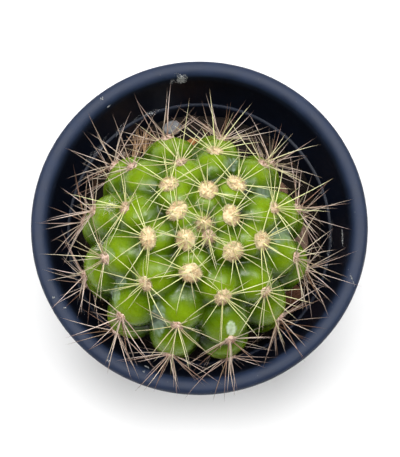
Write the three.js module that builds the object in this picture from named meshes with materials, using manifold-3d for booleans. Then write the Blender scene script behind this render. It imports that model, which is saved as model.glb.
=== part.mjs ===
// A round cactus in a small plastic pot: pot, soil, plant, husk chips and a stone.
// Millimetres, +Z up. The origin is the middle of the underside of the pot.
import * as THREE from "three";
import { mergeVertices } from "three/addons/utils/BufferGeometryUtils.js";
import Module from "manifold-3d";

const wasm = await Module();
wasm.setup();

// ---- driving dimensions: pot ----
const POT_HEIGHT = 72;
const RIM_RADIUS = 45;
const MOUTH_RADIUS = 40.5;
const WALL = 1.1;
const SKIRT_DROP = 7.5; // the rim's outer skirt hangs this far below the crown
const CROWN_RISE = 2.4;
const CROWN_TOP_RADIUS = 43; // where the crown is highest
const CROWN_SQUARENESS = 0.9; // 1 is a quarter ellipse to each side, less is flatter on top
const LEDGE_HEIGHT = 55.4; // the step inside the wall, where a stacked pot rests
const LEDGE_RADIUS = 37.6;
const LEDGE_WIDTH = 1.1;
const FOOT_RADIUS = 31.2;
const FLOOR_TOP = 2.6; // inner floor of the pot
const FLOOR_LIFT = 1.5; // the drained ring of the floor stands this far above the foot
const PAD_RADIUS = 9.5;
const DRAIN_RING = [10.3, 21.7];
const DRAIN_HOLES = 8;
const DRAIN_DIAMETER = 5;
const HOLE_SIDES = 12;
const NOTCHES = 4;
const NOTCH_WIDTH = 5;
const NOTCH_OVERRUN = 3; // the cutter reaches this far past the foot
const POT_SIDES = 64;
const EDGE = 0.8; // roundings and slopes at the foot
const SOFT_EDGE = 0.3; // roundings at the ledge

// ---- driving dimensions: soil ----
const SOIL_LEVEL = 49.6;
const SOIL_MOUND = 0.8;
const SOIL_BUMP = 0.6;
const SOIL_FIRST_WAVE = { x: 0.34, y: 0.31, start: 1.3, across: -0.4 }; // radians per mm
const SOIL_SECOND_WAVE = { x: -0.27, y: 0.42, start: 2, share: 0.6 };
const SOIL_GAP = 0.35; // clearance between the soil and the pot, and round the plant's neck
const SOIL_SIDES = 48;
const SOIL_RINGS = 7;

// ---- driving dimensions: plant ----
const PLANT_CENTRE = new THREE.Vector3(-1.3, -6.5, 72.22);
const PLANT_RADIUS = 29.85; // over the tubercles
const PLANT_RISE = 27.6; // centre to crown
const PLANT_DROP = 20.5; // centre to underside
const LEAN_RIGHT = THREE.MathUtils.degToRad(5.2);
const LEAN_BACK = THREE.MathUtils.degToRad(5.6);
const GROOVE_DEPTH = 7.4; // between tubercles at the widest part
const RELIEF_FADE = [1.9, 2.6]; // polar angles between which the tubercles flatten below
const RELIEF_KEPT = 0.25;
const BODY_DETAIL = 12;
const NECK_RADIUS = 11;
const NECK_FOOT_RADIUS = 8.5;
const NECK_FOOT_HEIGHT = 42;
const NECK_TOP_HEIGHT = 57;
const NECK_SIDES = 24;

// ---- driving dimensions: areoles along one growth spiral ----
const SPIRAL_TURN = THREE.MathUtils.degToRad(150.08); // from each areole to the next
const SPIRAL_STEP = THREE.MathUtils.degToRad(2.162); // away from the crown at each areole
const SPIRAL_PHASE = THREE.MathUtils.degToRad(75);
const SPIRAL_START = 3.97;
const SPIRAL_UNEVEN = 0.117; // the side away from +Y has grown more
// these stand off the spiral: millimetres away from the crown, and across
const OFF_SPIRAL = {
  0: [-4.4, 0],
  3: [-0.9, -0.8],
  5: [-1, -3.4],
  7: [1.9, 1.2],
  10: [-1.6, -1.1],
  12: [5.6, 1.2],
  17: [-3.5, 0.9],
  19: [4.5, 0.7],
  24: [4, 0],
  31: [3, 0],
};
const FIRST_AREOLE = -1;
const LAST_AREOLE = 48;
const LAST_TUBERCLE = 62;
const TUBERCLE_REACH = 0.62; // from summit to groove, as a share of the spacing
const RIB_REACH = 0.78; // the same along the ribs, which form from RIB_START on
const RIB_START = [0.5, 1.3]; // polar angles
const SUMMIT_SHIFT = 0.14; // the summit lies this share of the spacing above its areole
const CREST_CHANGE = 0.1;
const GROOVE_SHARPNESS = 7;
const TUBERCLE_RANGE = 0.7; // square of the furthest direction that a tubercle acts on
const SEAT_PROBE = 0.05; // radians either way in which an areole's slope is taken
const AREOLE_YOUNG_RADIUS = 2.5;
const AREOLE_OLD_RADIUS = 1.6;
const AGEING = [7, 17]; // the wool wears down between these areoles
const NEWEST_SHARE = 0.65;

// ---- driving dimensions: spines ----
const RADIAL_SPINES = 6;
const CENTRAL_SPINES = 2;
const SPINE_RADIUS = 0.27;
const SPINE_LENGTH = [9.5, 16.5];
const SPINE_ROOT = 1.2; // sunk below the surface
const SPINE_CLEARANCE = 0.6; // to the pot, the soil and what lies on it
const BEND_STEP = THREE.MathUtils.degToRad(7);
const SHORTEN_STEP = 0.85;
const SHORTEST_SPINE = 3;
const RADIAL_SPREAD = [72, 48]; // degrees from the areole's normal, old and young
const CENTRAL_SPREAD = [28, 16];
const SPREAD_CHANGE = 16;
const TURN_CHANGE = 0.1;
const SPINE_OVERHANG = 1.5; // a spine over the rim may reach this far past it
const YOUNG_UNTIL = 5; // spines spread as widely as on old areoles from this areole on
const YOUNG_LENGTH = 0.66; // of the old length
const FULL_LENGTH_FROM = 14; // the areole whose spines have grown to the old length
const CLEARANCE_SAMPLES = 8;
const SEED = 12.1;

// ---- driving dimensions: loose pieces on the soil ----
const REST_GAP = 0.4;
const HUSK_ROUGHNESS = 0.22;
const STONE_ROUGHNESS = 0.1;
const FLAT_UNDERSIDE = 0.7; // share of the lower half that is kept
// place, turn in degrees, and length, width and height before roughening
const RESTING = [
  { name: "husk_chip_1", at: [29.0, -1.3], turn: 82, size: [8.6, 4.6, 2.6], colour: 0x8a6a58 },
  { name: "husk_chip_2", at: [26.0, -17.8], turn: 35, size: [6.6, 4.6, 2.4], colour: 0x5a3320 },
  { name: "husk_chip_3", at: [23.6, 12.9], turn: 118, size: [6.0, 3.8, 2.2], colour: 0x6b4a36 },
  { name: "husk_chip_4", at: [-2.2, 26.0], turn: 12, size: [5.8, 3.8, 2.4], colour: 0x9c5a26 },
  { name: "stone_1", at: [-8.2, 31.2], turn: 20, size: [5.6, 4.4, 3.6], colour: 0x77777a },
];

const UP = new THREE.Vector3(0, 0, 1);
const HEXAGON_SPACING = 2 / Math.sqrt(3); // square of the spacing of hexagons of area 1
const SLIVER = 0.01;
const WELD = 1e-4;

// A repeatable draw from 0 to 1 for three whole numbers.
function draw(a, b, c) {
  const wave = Math.sin(a * 12.9898 + b * 78.233 + c * 37.719 + SEED) * 43758.5453;
  return wave - Math.floor(wave);
}

function mix(from, to, share) {
  return from + (to - from) * share;
}

// ---- solids ----
function weld(geometry) {
  geometry.deleteAttribute("normal");
  geometry.deleteAttribute("uv");
  return mergeVertices(geometry, WELD);
}

function solidOf(geometry) {
  const welded = weld(geometry);
  const vertProperties = new Float32Array(welded.attributes.position.array);
  const triVerts = new Uint32Array(welded.index.array);
  return new wasm.Manifold(new wasm.Mesh({ numProp: 3, vertProperties, triVerts }));
}

// The surface of a joined solid, without the slivers under 0.01 mm that a join leaves.
function geometryOf(solid) {
  const mesh = solid.simplify(SLIVER).getMesh();
  const geometry = new THREE.BufferGeometry();
  geometry.setAttribute("position", new THREE.BufferAttribute(new Float32Array(mesh.vertProperties), 3));
  geometry.setIndex(new THREE.BufferAttribute(new Uint32Array(mesh.triVerts), 1));
  geometry.computeVertexNormals();
  return geometry;
}

function lathe(profile, sides) {
  const points = profile.map(([r, z]) => new THREE.Vector2(r, z));
  const geometry = new THREE.LatheGeometry(points, sides);
  geometry.rotateX(Math.PI / 2);
  return geometry;
}

function upright(radiusTop, radiusBottom, low, high, sides) {
  const geometry = new THREE.CylinderGeometry(radiusTop, radiusBottom, high - low, sides);
  geometry.rotateX(Math.PI / 2);
  geometry.translate(0, 0, (low + high) / 2);
  return geometry;
}

function mesh(name, geometry, colour, roughness) {
  const material = new THREE.MeshStandardMaterial({ color: colour, roughness, metalness: 0 });
  const piece = new THREE.Mesh(geometry, material);
  piece.name = name;
  return piece;
}

// ---- pot ----
function wallRadius(z) {
  if (z >= LEDGE_HEIGHT) {
    const share = Math.min(1, (z - LEDGE_HEIGHT) / (POT_HEIGHT - CROWN_RISE - LEDGE_HEIGHT));
    return mix(LEDGE_RADIUS, MOUTH_RADIUS, share);
  }
  const share = (z - FLOOR_TOP) / (LEDGE_HEIGHT - FLOOR_TOP);
  return mix(FOOT_RADIUS - WALL, LEDGE_RADIUS - LEDGE_WIDTH, share);
}

function potProfile() {
  const crownZ = POT_HEIGHT - CROWN_RISE;
  const crown = [];
  for (let angle = 0; angle <= 180; angle += 30) {
    const turn = THREE.MathUtils.degToRad(angle);
    const reach = angle < 90 ? RIM_RADIUS - CROWN_TOP_RADIUS : CROWN_TOP_RADIUS - MOUTH_RADIUS;
    const across = Math.sign(Math.cos(turn)) * Math.abs(Math.cos(turn)) ** CROWN_SQUARENESS;
    const rise = Math.max(0, Math.sin(turn)) ** CROWN_SQUARENESS;
    crown.push([CROWN_TOP_RADIUS + reach * across, crownZ + CROWN_RISE * rise]);
  }
  return [
    [0, 0],
    [PAD_RADIUS, 0],
    [DRAIN_RING[0], FLOOR_LIFT],
    [DRAIN_RING[1], FLOOR_LIFT],
    [DRAIN_RING[1] + EDGE, 0],
    [FOOT_RADIUS - EDGE, 0],
    [FOOT_RADIUS, EDGE],
    [LEDGE_RADIUS, LEDGE_HEIGHT - WALL],
    [LEDGE_RADIUS + WALL, LEDGE_HEIGHT],
    [MOUTH_RADIUS + WALL, crownZ - EDGE],
    [CROWN_TOP_RADIUS, crownZ + CROWN_RISE - 1.2 * WALL],
    [RIM_RADIUS - WALL, crownZ - EDGE],
    [RIM_RADIUS - WALL, POT_HEIGHT - SKIRT_DROP],
    [RIM_RADIUS, POT_HEIGHT - SKIRT_DROP],
    ...crown,
    [LEDGE_RADIUS, LEDGE_HEIGHT + SOFT_EDGE],
    [LEDGE_RADIUS - SOFT_EDGE, LEDGE_HEIGHT],
    [LEDGE_RADIUS - LEDGE_WIDTH + SOFT_EDGE, LEDGE_HEIGHT - SOFT_EDGE / 3],
    [LEDGE_RADIUS - LEDGE_WIDTH, LEDGE_HEIGHT - 2 * SOFT_EDGE],
    [FOOT_RADIUS - WALL, FLOOR_TOP + 1],
    [FOOT_RADIUS - WALL - 1, FLOOR_TOP],
    [0, FLOOR_TOP],
  ];
}

function pot() {
  let solid = solidOf(lathe(potProfile(), POT_SIDES));
  const ringMiddle = (DRAIN_RING[0] + DRAIN_RING[1]) / 2;
  for (let i = 0; i < DRAIN_HOLES; i += 1) {
    const angle = ((i + 0.5) / DRAIN_HOLES) * 2 * Math.PI;
    const hole = upright(DRAIN_DIAMETER / 2, DRAIN_DIAMETER / 2, 0, FLOOR_TOP + 1, HOLE_SIDES);
    hole.translate(ringMiddle * Math.cos(angle), ringMiddle * Math.sin(angle), 0);
    solid = solid.subtract(solidOf(hole));
  }
  const footInner = DRAIN_RING[1] - 1;
  const notchLength = FOOT_RADIUS + NOTCH_OVERRUN - footInner;
  for (let i = 0; i < NOTCHES; i += 1) {
    const notch = new THREE.BoxGeometry(notchLength, NOTCH_WIDTH, 2 * FLOOR_LIFT);
    notch.translate(footInner + notchLength / 2, 0, 0);
    notch.rotateZ((i / NOTCHES) * 2 * Math.PI);
    solid = solid.subtract(solidOf(notch));
  }
  return mesh("pot", geometryOf(solid), 0x10141f, 0.42);
}

// ---- soil ----
function soilSurface(x, y) {
  const reach = wallRadius(SOIL_LEVEL);
  const mound = SOIL_MOUND * (1 - (x * x + y * y) / (reach * reach));
  const a = SOIL_FIRST_WAVE;
  const b = SOIL_SECOND_WAVE;
  const first = Math.sin(a.x * x + a.start) * Math.cos(a.y * y + a.across);
  const second = b.share * Math.sin(b.x * x + b.y * y + b.start);
  return SOIL_LEVEL + mound + SOIL_BUMP * (first + second);
}

function neckPlace() {
  return plantPoint(new THREE.Vector3(0, 0, -1), 0);
}

function soil() {
  const bottom = FLOOR_TOP + SOIL_GAP;
  const reach = wallRadius(SOIL_LEVEL) - SOIL_GAP;
  const profile = [[0, bottom]];
  profile.push([wallRadius(bottom) - SOIL_GAP - 1, bottom]);
  profile.push([wallRadius(bottom + 1) - SOIL_GAP, bottom + 1]);
  for (let i = SOIL_RINGS; i >= 0; i -= 1) {
    profile.push([(reach * i) / SOIL_RINGS, SOIL_LEVEL]);
  }
  const geometry = lathe(profile, SOIL_SIDES);
  const position = geometry.attributes.position;
  for (let i = 0; i < position.count; i += 1) {
    if (position.getZ(i) > SOIL_LEVEL - 1) {
      position.setZ(i, soilSurface(position.getX(i), position.getY(i)));
    }
  }
  const place = neckPlace();
  const hole = upright(
    NECK_RADIUS + SOIL_GAP,
    NECK_FOOT_RADIUS + SOIL_GAP,
    NECK_FOOT_HEIGHT - SOIL_GAP,
    NECK_TOP_HEIGHT,
    NECK_SIDES,
  );
  hole.translate(place.x, place.y, 0);
  return mesh("soil", geometryOf(solidOf(geometry).subtract(solidOf(hole))), 0x1a120d, 0.95);
}

// ---- loose pieces on the soil ----
function restingPiece(spec, index) {
  const geometry = weld(new THREE.IcosahedronGeometry(1, 1));
  const position = geometry.attributes.position;
  const rough = spec.name.startsWith("stone") ? STONE_ROUGHNESS : HUSK_ROUGHNESS;
  for (let i = 0; i < position.count; i += 1) {
    const stretch = 1 + rough * (2 * draw(i, index, 5) - 1);
    const x = (position.getX(i) * stretch * spec.size[0]) / 2;
    const y = (position.getY(i) * stretch * spec.size[1]) / 2;
    const z = Math.max(-FLAT_UNDERSIDE, position.getZ(i) * stretch) * (spec.size[2] / 2);
    position.setXYZ(i, x, y, z);
  }
  geometry.rotateZ(THREE.MathUtils.degToRad(spec.turn));
  geometry.translate(spec.at[0], spec.at[1], 0);
  let lift = 0;
  for (let i = 0; i < position.count; i += 1) {
    const needed = soilSurface(position.getX(i), position.getY(i)) + REST_GAP - position.getZ(i);
    lift = Math.max(lift, needed);
  }
  geometry.translate(0, 0, lift);
  return mesh(spec.name, geometryOf(solidOf(geometry)), spec.colour, 0.9);
}

// ---- plant ----
function leaned(v) {
  const toTheRight = new THREE.Vector3(0, 1, 0);
  const toTheFront = new THREE.Vector3(1, 0, 0);
  return v.clone().applyAxisAngle(toTheRight, LEAN_RIGHT).applyAxisAngle(toTheFront, -LEAN_BACK);
}

// The point of the body in direction u, pushed in by the given depth.
function plantPoint(u, depth) {
  const rise = u.z > 0 ? PLANT_RISE : PLANT_DROP;
  const crest = new THREE.Vector3(u.x * PLANT_RADIUS, u.y * PLANT_RADIUS, u.z * rise);
  const normal = new THREE.Vector3(u.x / PLANT_RADIUS, u.y / PLANT_RADIUS, u.z / rise).normalize();
  return leaned(crest.addScaledVector(normal, -depth)).add(PLANT_CENTRE);
}

// Place, frame and size of the n-th areole on the growth spiral.
function areole(n) {
  const turned = SPIRAL_PHASE + n * SPIRAL_TURN;
  const grown = SPIRAL_STEP * (n + SPIRAL_START) * (1 - SPIRAL_UNEVEN * Math.sin(turned));
  const [outward, sideways] = OFF_SPIRAL[n] ?? [0, 0];
  const around = turned + sideways / (PLANT_RADIUS * Math.sin(grown));
  const polar = grown + outward / PLANT_RADIUS;
  const sin = Math.sin(polar);
  const cos = Math.cos(polar);
  const u = new THREE.Vector3(sin * Math.cos(around), sin * Math.sin(around), cos);
  const away = new THREE.Vector3(cos * Math.cos(around), cos * Math.sin(around), -sin);
  const across = new THREE.Vector3(-Math.sin(around), Math.cos(around), 0);
  const area = 2 * Math.PI * Math.sin(grown) * SPIRAL_STEP;
  const spacing = PLANT_RADIUS * Math.sqrt(area * HEXAGON_SPACING);
  const ribbed = THREE.MathUtils.smoothstep(polar, RIB_START[0], RIB_START[1]);
  return {
    n,
    u,
    away,
    across,
    halfWidth: spacing * TUBERCLE_REACH,
    halfLength: spacing * mix(TUBERCLE_REACH, RIB_REACH, ribbed),
    shift: spacing * SUMMIT_SHIFT,
    crest: 1 + CREST_CHANGE * (draw(n, 1, 7) - 0.5),
    turn: draw(n, 0, 2) * 2 * Math.PI,
  };
}

const tubercles = [];
for (let n = FIRST_AREOLE - 1; n <= LAST_TUBERCLE; n += 1) {
  tubercles.push(areole(n));
}

// Height of the tubercles in direction u: 0 in a groove, 1 on a summit.
function relief(u) {
  let sum = 1;
  for (const t of tubercles) {
    const off = u.clone().sub(t.u);
    if (off.lengthSq() < TUBERCLE_RANGE) {
      const x = (off.dot(t.across) * PLANT_RADIUS) / t.halfWidth;
      const y = (off.dot(t.away) * PLANT_RADIUS + t.shift) / t.halfLength;
      sum += Math.exp(GROOVE_SHARPNESS * (t.crest - x * x - y * y));
    }
  }
  return Math.log(sum) / GROOVE_SHARPNESS;
}

function surfacePoint(u) {
  const polar = Math.acos(THREE.MathUtils.clamp(u.z, -1, 1));
  const fade = mix(1, RELIEF_KEPT, THREE.MathUtils.smoothstep(polar, RELIEF_FADE[0], RELIEF_FADE[1]));
  const depth = GROOVE_DEPTH * Math.sqrt(Math.sin(polar)) * fade;
  return plantPoint(u, depth * (1 - relief(u)));
}

// Point and outward normal of the body at an areole.
function areoleSeat(t) {
  const reach = SEAT_PROBE;
  const at = surfacePoint(t.u);
  const ahead = surfacePoint(t.u.clone().addScaledVector(t.away, reach).normalize());
  const behind = surfacePoint(t.u.clone().addScaledVector(t.away, -reach).normalize());
  const left = surfacePoint(t.u.clone().addScaledVector(t.across, -reach).normalize());
  const right = surfacePoint(t.u.clone().addScaledVector(t.across, reach).normalize());
  const away = ahead.sub(behind).normalize();
  const across = right.sub(left).normalize();
  const normal = away.clone().cross(across).normalize();
  return { at, away, across: normal.clone().cross(away), normal };
}

function body() {
  const geometry = weld(new THREE.IcosahedronGeometry(1, BODY_DETAIL));
  const position = geometry.attributes.position;
  const u = new THREE.Vector3();
  for (let i = 0; i < position.count; i += 1) {
    u.fromBufferAttribute(position, i).normalize();
    const point = surfacePoint(u);
    position.setXYZ(i, point.x, point.y, point.z);
  }
  return solidOf(geometry);
}

function neck() {
  const place = neckPlace();
  const geometry = upright(NECK_RADIUS, NECK_FOOT_RADIUS, NECK_FOOT_HEIGHT, NECK_TOP_HEIGHT, NECK_SIDES);
  geometry.translate(place.x, place.y, 0);
  return solidOf(geometry);
}

function woolRadius(n) {
  const aged = THREE.MathUtils.smoothstep(n, AGEING[0], AGEING[1]);
  const grown = n < 1 ? NEWEST_SHARE : 1;
  return mix(AREOLE_YOUNG_RADIUS, AREOLE_OLD_RADIUS, aged) * grown;
}

// A low woolly dome on the areole, its lower half sunk in the body, one side to each radial spine.
function woolPad(t, seat) {
  const radius = woolRadius(t.n);
  const profile = [
    [0, -0.6 * radius],
    [radius, -0.25 * radius],
    [0.85 * radius, 0.5 * radius],
    [0, 0.7 * radius],
  ];
  const geometry = lathe(profile, RADIAL_SPINES);
  geometry.rotateZ(t.turn);
  const frame = new THREE.Matrix4().makeBasis(seat.away, seat.across, seat.normal).setPosition(seat.at);
  geometry.applyMatrix4(frame);
  return solidOf(geometry);
}

// ---- spines ----
function isClear(p) {
  const out = Math.hypot(p.x, p.y);
  if (p.z > POT_HEIGHT + SPINE_CLEARANCE) {
    return out < RIM_RADIUS + SPINE_OVERHANG;
  }
  if (out > wallRadius(p.z) - SPINE_CLEARANCE) {
    return false;
  }
  if (p.z < soilSurface(p.x, p.y) + SPINE_CLEARANCE) {
    return false;
  }
  return RESTING.every((spec) => {
    const reach = spec.size[0] / 2 + SPINE_CLEARANCE;
    const apart = Math.hypot(p.x - spec.at[0], p.y - spec.at[1]);
    return apart > reach || p.z > SOIL_LEVEL + spec.size[2] + 2;
  });
}

function spineIsClear(from, direction, length) {
  for (let i = 1; i <= CLEARANCE_SAMPLES; i += 1) {
    if (!isClear(from.clone().addScaledVector(direction, (length * i) / CLEARANCE_SAMPLES))) {
      return false;
    }
  }
  return true;
}

// A spine that would touch the pot or the soil bends up in steps, and is shorter where that fails.
function clearedTip(from, direction, length) {
  const axis = direction.clone().cross(UP).normalize();
  const room = direction.angleTo(UP);
  for (let reach = length; reach > SHORTEST_SPINE; reach *= SHORTEN_STEP) {
    for (let turn = 0; turn < room; turn += BEND_STEP) {
      const bent = direction.clone().applyAxisAngle(axis, turn);
      if (spineIsClear(from, bent, reach)) {
        return from.clone().addScaledVector(bent, reach);
      }
    }
  }
  return from.clone();
}

// Directions as seen from the areole: radials spread in a ring, centrals stand up.
function spineTip(t, seat, k) {
  const radial = k < RADIAL_SPINES;
  const young = 1 - THREE.MathUtils.smoothstep(t.n, FIRST_AREOLE, YOUNG_UNTIL);
  const share = radial ? k / RADIAL_SPINES : (k - RADIAL_SPINES) / CENTRAL_SPINES;
  const turn = t.turn + (share + TURN_CHANGE * (draw(t.n, k, 1) - 0.5)) * 2 * Math.PI;
  const range = radial ? RADIAL_SPREAD : CENTRAL_SPREAD;
  const spread = mix(range[0], range[1], young) + SPREAD_CHANGE * (draw(t.n, k, 3) - 0.5);
  const tilt = THREE.MathUtils.degToRad(spread);
  const direction = seat.normal.clone().multiplyScalar(Math.cos(tilt));
  direction.addScaledVector(seat.away, Math.sin(tilt) * Math.cos(turn));
  direction.addScaledVector(seat.across, Math.sin(tilt) * Math.sin(turn));
  const grown = mix(YOUNG_LENGTH, 1, THREE.MathUtils.smoothstep(t.n, FIRST_AREOLE, FULL_LENGTH_FROM));
  const length = mix(SPINE_LENGTH[0], SPINE_LENGTH[1], draw(t.n, k, 4)) * grown;
  return clearedTip(seat.at, direction, length);
}

// A straight three-sided needle, its root sunk in the body.
function spine(seat, tip) {
  const direction = tip.clone().sub(seat.at).normalize();
  const root = seat.at.clone().addScaledVector(direction, -SPINE_ROOT);
  const length = tip.distanceTo(root);
  const geometry = new THREE.ConeGeometry(SPINE_RADIUS, length, 3, 1);
  geometry.translate(0, length / 2, 0);
  const turn = new THREE.Quaternion().setFromUnitVectors(new THREE.Vector3(0, 1, 0), direction);
  geometry.applyQuaternion(turn);
  geometry.translate(root.x, root.y, root.z);
  return solidOf(geometry);
}

function cactus() {
  let solid = body().add(neck());
  for (const t of tubercles) {
    if (t.n < FIRST_AREOLE || t.n > LAST_AREOLE) {
      continue;
    }
    const seat = areoleSeat(t);
    let cluster = woolPad(t, seat);
    for (let k = 0; k < RADIAL_SPINES + CENTRAL_SPINES; k += 1) {
      cluster = cluster.add(spine(seat, spineTip(t, seat, k)));
    }
    solid = solid.add(cluster);
  }
  return mesh("cactus", geometryOf(solid), 0x5f9e1c, 0.38);
}

const part = new THREE.Group();
part.add(pot());
part.add(soil());
part.add(cactus());
RESTING.forEach((spec, index) => part.add(restingPiece(spec, index)));

export default part;
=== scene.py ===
"""A round cactus in a small plastic pot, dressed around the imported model.

Shapes are made in millimetres. The camera, the lights and the finished meshes are in metres.
"""

import math

import bmesh
import bpy
import numpy as np
from mathutils import Matrix, Vector, noise
from mathutils.bvhtree import BVHTree


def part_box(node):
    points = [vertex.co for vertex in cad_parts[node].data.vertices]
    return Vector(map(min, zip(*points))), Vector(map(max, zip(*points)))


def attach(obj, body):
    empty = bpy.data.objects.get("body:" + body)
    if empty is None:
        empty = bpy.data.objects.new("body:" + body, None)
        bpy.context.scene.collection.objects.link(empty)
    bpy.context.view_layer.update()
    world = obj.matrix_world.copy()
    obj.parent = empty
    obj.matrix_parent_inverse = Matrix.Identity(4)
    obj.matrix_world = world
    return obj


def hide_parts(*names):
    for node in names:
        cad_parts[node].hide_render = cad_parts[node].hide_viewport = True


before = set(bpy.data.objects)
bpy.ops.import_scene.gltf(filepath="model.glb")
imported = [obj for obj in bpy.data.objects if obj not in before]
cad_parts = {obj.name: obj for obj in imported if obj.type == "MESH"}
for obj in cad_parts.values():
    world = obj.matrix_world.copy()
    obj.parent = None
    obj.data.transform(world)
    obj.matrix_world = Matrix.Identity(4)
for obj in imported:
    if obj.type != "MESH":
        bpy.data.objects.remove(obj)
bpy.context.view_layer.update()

MM = 0.001
RIGHT, AHEAD, UP = np.eye(3)

# ---- pot ----
POT_HEIGHT = 72.0
RIM_RADIUS = 45.0
MOUTH_RADIUS = 40.5
WALL = 1.1
SKIRT_DROP = 7.5
CROWN_RISE = 2.4
CROWN_TOP_RADIUS = 43.0
CROWN_SQUARENESS = 0.85  # 1 is an ellipse, less is flatter on top, and the model has 0.9
LEDGE_HEIGHT = 55.4
LEDGE_RADIUS = 37.6
LEDGE_WIDTH = 1.1
FOOT_RADIUS = 31.2
FLOOR_TOP = 2.6
FLOOR_LIFT = 1.5
PAD_RADIUS = 9.5
DRAIN_RING = (10.3, 21.7)
DRAIN_HOLES = 8
DRAIN_DIAMETER = 5.0
DRAIN_SIDES = 32
NOTCHES = 4
NOTCH_WIDTH = 5.0
NOTCH_OVERRUN = 3.0
EDGE = 0.8
SOFT_EDGE = 0.3
POT_SIDES = 224
SHARP_EDGE = math.radians(35)
# heights over which the rim's wear comes in, and with it the end of the painted shade inside the pot
RIM_WEAR_AND_UNSHADED = (POT_HEIGHT - 4.5, POT_HEIGHT - 2.0)  # heights over which it comes in
FOOT_DUST = (2.0, 26.0)  # heights over which it fades

# ---- soil ----
SOIL_LEVEL = 49.6
SOIL_MOUND = 0.8
SOIL_BUMP = 0.6
SOIL_FIRST_WAVE = {"x": 0.34, "y": 0.31, "start": 1.3, "across": -0.4}
SOIL_SECOND_WAVE = {"x": -0.27, "y": 0.42, "start": 2.0, "share": 0.6}
SOIL_GAP = 0.35
SOIL_RINGS = 64
SOIL_SIDES = 192
CRUMBS = 1500
CRUMB_SIZE = (0.5, 2.3)

# ---- plant ----
PLANT_CENTRE = np.array([-1.3, -6.5, 72.22])
PLANT_RADIUS = 29.85
PLANT_RISE = 27.6
PLANT_DROP = 20.5
LEAN_RIGHT = math.radians(5.2)
LEAN_BACK = math.radians(5.6)
GROOVE_DEPTH = 7.4
RELIEF_FADE = (1.9, 2.6)
RELIEF_KEPT = 0.25
NECK_RADIUS = 11.0
NECK_FOOT_RADIUS = 8.5
NECK_FOOT_HEIGHT = 42.0
NECK_TOP_HEIGHT = 57.0
NECK_SIDES = 64

# ---- areoles along one growth spiral ----
SPIRAL_TURN = math.radians(150.08)
SPIRAL_STEP = math.radians(2.162)
SPIRAL_PHASE = math.radians(75)
SPIRAL_START = 3.97
SPIRAL_UNEVEN = 0.117
OFF_SPIRAL = {  # mm away from the crown, and across
    0: (-4.4, 0.0), 3: (-0.9, -0.8), 5: (-1.0, -3.4), 7: (1.9, 1.2), 10: (-1.6, -1.1),
    12: (5.6, 1.2), 17: (-3.5, 0.9), 19: (4.5, 0.7), 24: (4.0, 0.0), 31: (3.0, 0.0),
}
FIRST_AREOLE = -1
LAST_AREOLE = 48
LAST_TUBERCLE = 62
TUBERCLE_REACH = 0.62
RIB_REACH = 0.78
RIB_START = (0.5, 1.3)
SUMMIT_SHIFT = 0.14
CREST_CHANGE = 0.1
GROOVE_SHARPNESS = 7.0
TUBERCLE_RANGE = 0.7
SEAT_PROBE = 0.05
AREOLE_RADIUS = (2.5, 1.6)  # young and old
NEWEST_SHARE = 0.65

# ---- skin ----
BODY_SHARPNESS = 10.0  # creases crisper than the model's
PLUMPNESS = 1.35  # above 1 the tops are flatter and the creases narrower
SKIN_LUMPS = [(5.5, 0.42), (2.1, 0.12)]  # size and height, mm
CORK_HEIGHTS = (53, 62)  # full below, none above

# ---- wool ----
WOOL_AGEING = (7, 16)  # areoles over which the pads shrink
WOOL_BROWNING = (7, 21)
WOOL_HEIGHT = 0.60  # of its radius
WOOL_CORE = 0.89  # of its radius, the rest is hair
WOOL_LUMPS = 0.26
WOOL_TUFTS = 0.14
WOOL_STRETCH = 0.14
WOOL_HAIRS = (640, 220)  # on a young and on an old areole
WOOL_HAIR_LENGTH = (0.45, 1.4)
WOOL_HAIR_RADIUS = 0.035

# ---- spines ----
RADIAL_SPINES = 6
CENTRAL_SPINES = 2
MODEL_SPINES = RADIAL_SPINES + CENTRAL_SPINES
# radial or not, and the share of a turn: those of the model, then finer ones between them
SPINE_PLACES = [(True, k / RADIAL_SPINES) for k in range(RADIAL_SPINES)]
SPINE_PLACES += [(False, k / CENTRAL_SPINES) for k in range(CENTRAL_SPINES)]
SPINE_PLACES += [(True, (k + 0.5) / RADIAL_SPINES) for k in range(RADIAL_SPINES - 1)]
SPINE_PLACES += [(False, 0.5 / CENTRAL_SPINES)]
SPINE_RADIUS = 0.15
SPINE_THICKNESS = (0.8, 1.12)  # of the radius
CENTRAL_THICKER = 1.1
SPINE_BOW = 0.05  # of the length
SPINE_STEPS = 8
SPINE_SIDES = 7
SPINE_GREYING = (13, 25)
SPINE_LENGTH = (9.5, 16.5)
SPINE_ROOT = 1.2
SPINE_CLEARANCE = 0.6
BEND_STEP = math.radians(7)
SHORTEN_STEP = 0.85
SHORTEST_SPINE = 3.0
RADIAL_SPREAD = (72.0, 48.0)
CENTRAL_SPREAD = (28.0, 16.0)
SPREAD_CHANGE = 16.0
TURN_CHANGE = 0.1
SPINE_OVERHANG = 1.5
YOUNG_UNTIL = 5
YOUNG_LENGTH = 0.66
CROSSING_LENGTH = 0.85  # of the finer spines between those of the model
FULL_LENGTH_FROM = 14
CLEARANCE_SAMPLES = 8
SEED = 12.1

# ---- loose pieces: name, place, turn and size, as in the model ----
RESTING = [
    ("husk_chip_1", (29.0, -1.3), 82, (8.6, 4.6, 2.6)),
    ("husk_chip_2", (26.0, -17.8), 35, (6.6, 4.6, 2.4)),
    ("husk_chip_3", (23.6, 12.9), 118, (6.0, 3.8, 2.2)),
    ("husk_chip_4", (-2.2, 26.0), 12, (5.8, 3.8, 2.4)),
    ("stone_1", (-8.2, 31.2), 20, (5.6, 4.4, 3.6)),
]

# ---- camera: tilted a little from straight down, towards the front of the pot ----
CAMERA_TILT = math.radians(8.6)
CAMERA_DISTANCE = 0.230  # from the middle of the rim's plane
PHOTO_SIZE = (400, 457)
RIM_CENTRE = (199.4, 222.5)  # pixel where the photo shows the middle of the rim's plane
PIXELS_PER_MM = 3.775  # in that plane
FOCAL_PIXELS = PIXELS_PER_MM * CAMERA_DISTANCE / MM


def mix(a, b, share):
    return a + (b - a) * share


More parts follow.
